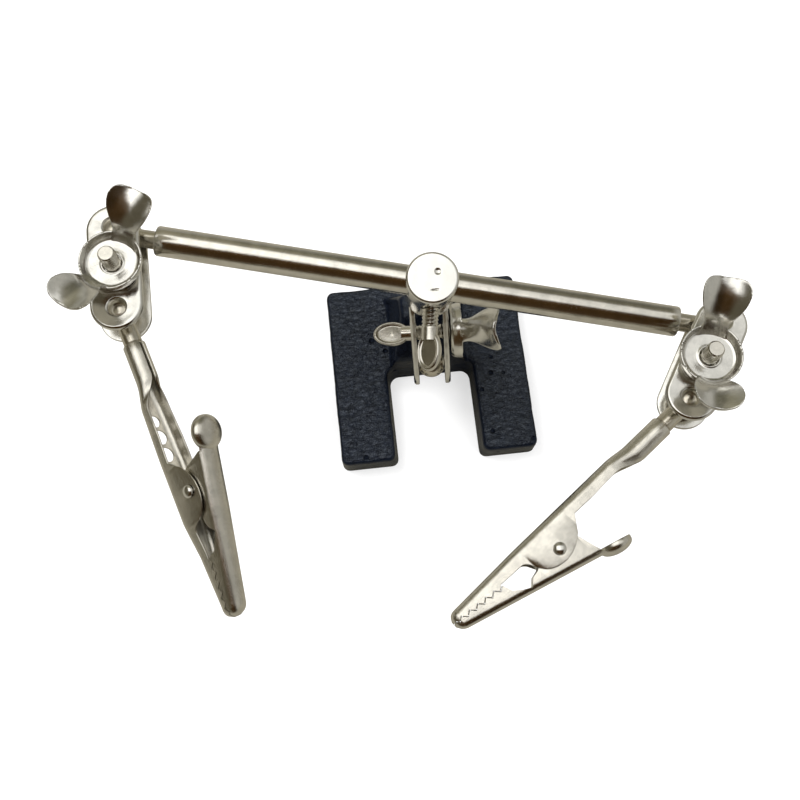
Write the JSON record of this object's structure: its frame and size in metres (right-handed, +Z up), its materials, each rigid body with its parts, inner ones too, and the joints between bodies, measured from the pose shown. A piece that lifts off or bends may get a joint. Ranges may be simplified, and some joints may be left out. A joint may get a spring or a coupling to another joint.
{
  "type": "helping hands clamp stand",
  "caption": "Bench stand with a slotted cast base, ball-jointed clamp column, sliding crossbar and spring clips on adjustable arms.",
  "frame": {"origin": "on the flat underside of the cast base, on its centre line behind the slot", "axes": "+X to the right along the base width and roughly along the crossbar, +Y to the rear, +Z up; the base legs and clips point to -Y"},
  "size_m": [0.1736, 0.116, 0.0837],
  "materials": {
    "base_casting": "pitted black paint over a rough casting, satin",
    "base_ball_stud": "turned and nickel plated, slightly yellow",
    "column_clamp_front_plate": "pressed or threaded steel, bright nickel plate",
    "column_clamp_rear_plate": "pressed or threaded steel, bright nickel plate",
    "column_clamp_bolt": "pressed or threaded steel, bright nickel plate",
    "column_clamp_wing_nut": "pressed or threaded steel, bright nickel plate",
    "collar_ball_stem": "turned and nickel plated, slightly yellow",
    "collar": "bright plated, faint turning marks on the top face",
    "collar_thumb_screw": "pressed or threaded steel, bright nickel plate",
    "crossbar": "polished nickel plate with faint draw lines along the tube",
    "left_bar_stud": "turned and nickel plated, slightly yellow",
    "left_clamp_front_plate": "pressed or threaded steel, bright nickel plate",
    "left_clamp_rear_plate": "pressed or threaded steel, bright nickel plate",
    "left_clamp_bolt": "pressed or threaded steel, bright nickel plate",
    "left_clamp_wing_nut": "pressed or threaded steel, bright nickel plate",
    "left_clip_stem": "turned and nickel plated, slightly yellow",
    "left_fixed_jaw": "pressed sheet, nickel plated, fine brushed grain",
    "left_rivet": "turned and nickel plated, slightly yellow",
    "left_spring": "drawn spring wire, dull",
    "left_moving_jaw": "pressed sheet, nickel plated, fine brushed grain",
    "right_bar_stud": "turned and nickel plated, slightly yellow",
    "right_clamp_front_plate": "pressed or threaded steel, bright nickel plate",
    "right_clamp_rear_plate": "pressed or threaded steel, bright nickel plate",
    "right_clamp_bolt": "pressed or threaded steel, bright nickel plate",
    "right_clamp_wing_nut": "pressed or threaded steel, bright nickel plate",
    "right_clip_stem": "turned and nickel plated, slightly yellow",
    "right_fixed_jaw": "pressed sheet, nickel plated, fine brushed grain",
    "right_rivet": "turned and nickel plated, slightly yellow",
    "right_spring": "drawn spring wire, dull",
    "right_moving_jaw": "pressed sheet, nickel plated, fine brushed grain"
  },
  "bodies": {
    "base": {"base_casting": "base_casting"},
    "base_stud": {"base_ball_stud": "base_ball_stud"},
    "column": {"column_clamp_front_plate": "column_clamp_front_plate", "column_clamp_rear_plate": "column_clamp_rear_plate", "column_clamp_bolt": "column_clamp_bolt"},
    "column_nut": {"column_clamp_wing_nut": "column_clamp_wing_nut"},
    "collar_stem": {"collar_ball_stem": "collar_ball_stem"},
    "collar_body": {"collar": "collar"},
    "thumb_screw": {"collar_thumb_screw": "collar_thumb_screw"},
    "bar": {"crossbar": "crossbar"},
    "left_bar_end": {"left_bar_stud": "left_bar_stud"},
    "left_clamp": {"left_clamp_front_plate": "left_clamp_front_plate", "left_clamp_rear_plate": "left_clamp_rear_plate", "left_clamp_bolt": "left_clamp_bolt"},
    "left_nut": {"left_clamp_wing_nut": "left_clamp_wing_nut"},
    "left_stem": {"left_clip_stem": "left_clip_stem"},
    "left_clip": {"left_fixed_jaw": "left_fixed_jaw", "left_rivet": "left_rivet", "left_spring": "left_spring"},
    "left_jaw": {"left_moving_jaw": "left_moving_jaw"},
    "right_bar_end": {"right_bar_stud": "right_bar_stud"},
    "right_clamp": {"right_clamp_front_plate": "right_clamp_front_plate", "right_clamp_rear_plate": "right_clamp_rear_plate", "right_clamp_bolt": "right_clamp_bolt"},
    "right_nut": {"right_clamp_wing_nut": "right_clamp_wing_nut"},
    "right_stem": {"right_clip_stem": "right_clip_stem"},
    "right_clip": {"right_fixed_jaw": "right_fixed_jaw", "right_rivet": "right_rivet", "right_spring": "right_spring"},
    "right_jaw": {"right_moving_jaw": "right_moving_jaw"}
  },
  "joints": [
    {"name": "column_swivel", "type": "hinge", "parent": "base", "child": "base_stud", "pos_m": [-0.00044, -0.01785, 0.0246], "axis": [0, -0.72, 0.694], "range_deg": [-35, 35]},
    {"name": "column_tilt", "type": "hinge", "parent": "base_stud", "child": "column", "pos_m": [-0.00044, -0.01785, 0.0246], "axis": [0.9969, -0.0618, 0.0479], "range_deg": [-25, 30]},
    {"name": "column_nut_turn", "type": "hinge", "parent": "column", "child": "column_nut", "pos_m": [-0.00044, -0.01144, 0.03397], "axis": [0.9969, -0.0618, 0.0479], "continuous": true},
    {"name": "head_tilt", "type": "hinge", "parent": "column", "child": "collar_stem", "pos_m": [-0.00044, -0.00502, 0.04333], "axis": [-0.9969, 0.0618, -0.0479], "range_deg": [-25, 60]},
    {"name": "head_turn", "type": "hinge", "parent": "collar_stem", "child": "collar_body", "pos_m": [-0.00044, -0.00502, 0.04333], "axis": [0.0024, -0.1597, 0.9872], "continuous": true},
    {"name": "thumb_screw_turn", "type": "hinge", "parent": "collar_body", "child": "thumb_screw", "pos_m": [-0.0004, -0.0079, 0.0611], "axis": [0.1378, 0.9778, 0.1578], "continuous": true},
    {"name": "bar_slide", "type": "slide", "parent": "collar_body", "child": "bar", "axis": [0.9663, -0.2538, -0.0434], "range_m": [-0.05, 0.05]},
    {"name": "left_arm_turn", "type": "hinge", "parent": "bar", "child": "left_bar_end", "pos_m": [-0.08142, 0.01338, 0.06474], "axis": [0.9663, -0.2538, -0.0434], "range_deg": [-180, 30]},
    {"name": "left_clamp_swing", "type": "hinge", "parent": "left_bar_end", "child": "left_clamp", "pos_m": [-0.08142, 0.01338, 0.06474], "axis": [0, 0, -1], "range_deg": [-25, 210]},
    {"name": "left_nut_turn", "type": "hinge", "parent": "left_clamp", "child": "left_nut", "pos_m": [-0.08113, 0.00203, 0.06474], "axis": [0, 0, 1], "continuous": true},
    {"name": "left_clip_swing", "type": "hinge", "parent": "left_clamp", "child": "left_stem", "pos_m": [-0.08083, -0.00931, 0.06474], "axis": [0, 0, 1], "range_deg": [-140, 45]},
    {"name": "left_clip_roll", "type": "hinge", "parent": "left_stem", "child": "left_clip", "pos_m": [-0.08083, -0.00931, 0.06474], "axis": [0.295, -0.953, -0.0698], "continuous": true},
    {"name": "left_jaw_open", "type": "hinge", "parent": "left_clip", "child": "left_jaw", "pos_m": [-0.06291, -0.05691, 0.06394], "axis": [-0.6239, -0.2474, 0.7413], "range_deg": [0, 35], "stiffness_Nm_per_rad": 0.03, "springref_deg": -57.3},
    {"name": "right_arm_turn", "type": "hinge", "parent": "bar", "child": "right_bar_end", "pos_m": [0.07328, -0.02725, 0.05779], "axis": [0.9663, -0.2538, -0.0434], "range_deg": [-180, 30]},
    {"name": "right_clamp_swing", "type": "hinge", "parent": "right_bar_end", "child": "right_clamp", "pos_m": [0.07328, -0.02725, 0.05779], "axis": [0, 0, -1], "range_deg": [-210, 25]},
    {"name": "right_nut_turn", "type": "hinge", "parent": "right_clamp", "child": "right_nut", "pos_m": [0.0673, -0.0369, 0.05779], "axis": [0, 0, 1], "continuous": true},
    {"name": "right_clip_swing", "type": "hinge", "parent": "right_clamp", "child": "right_stem", "pos_m": [0.06132, -0.04654, 0.05779], "axis": [0, 0, 1], "range_deg": [-45, 140]},
    {"name": "right_clip_roll", "type": "hinge", "parent": "right_stem", "child": "right_clip", "pos_m": [0.06132, -0.04654, 0.05779], "axis": [-0.7988, -0.5976, -0.0698], "continuous": true},
    {"name": "right_jaw_open", "type": "hinge", "parent": "right_clip", "child": "right_jaw", "pos_m": [0.02328, -0.08012, 0.05425], "axis": [-0.0559, -0.0418, 0.9976], "range_deg": [0, 35], "stiffness_Nm_per_rad": 0.03, "springref_deg": -57.3}
  ]
}
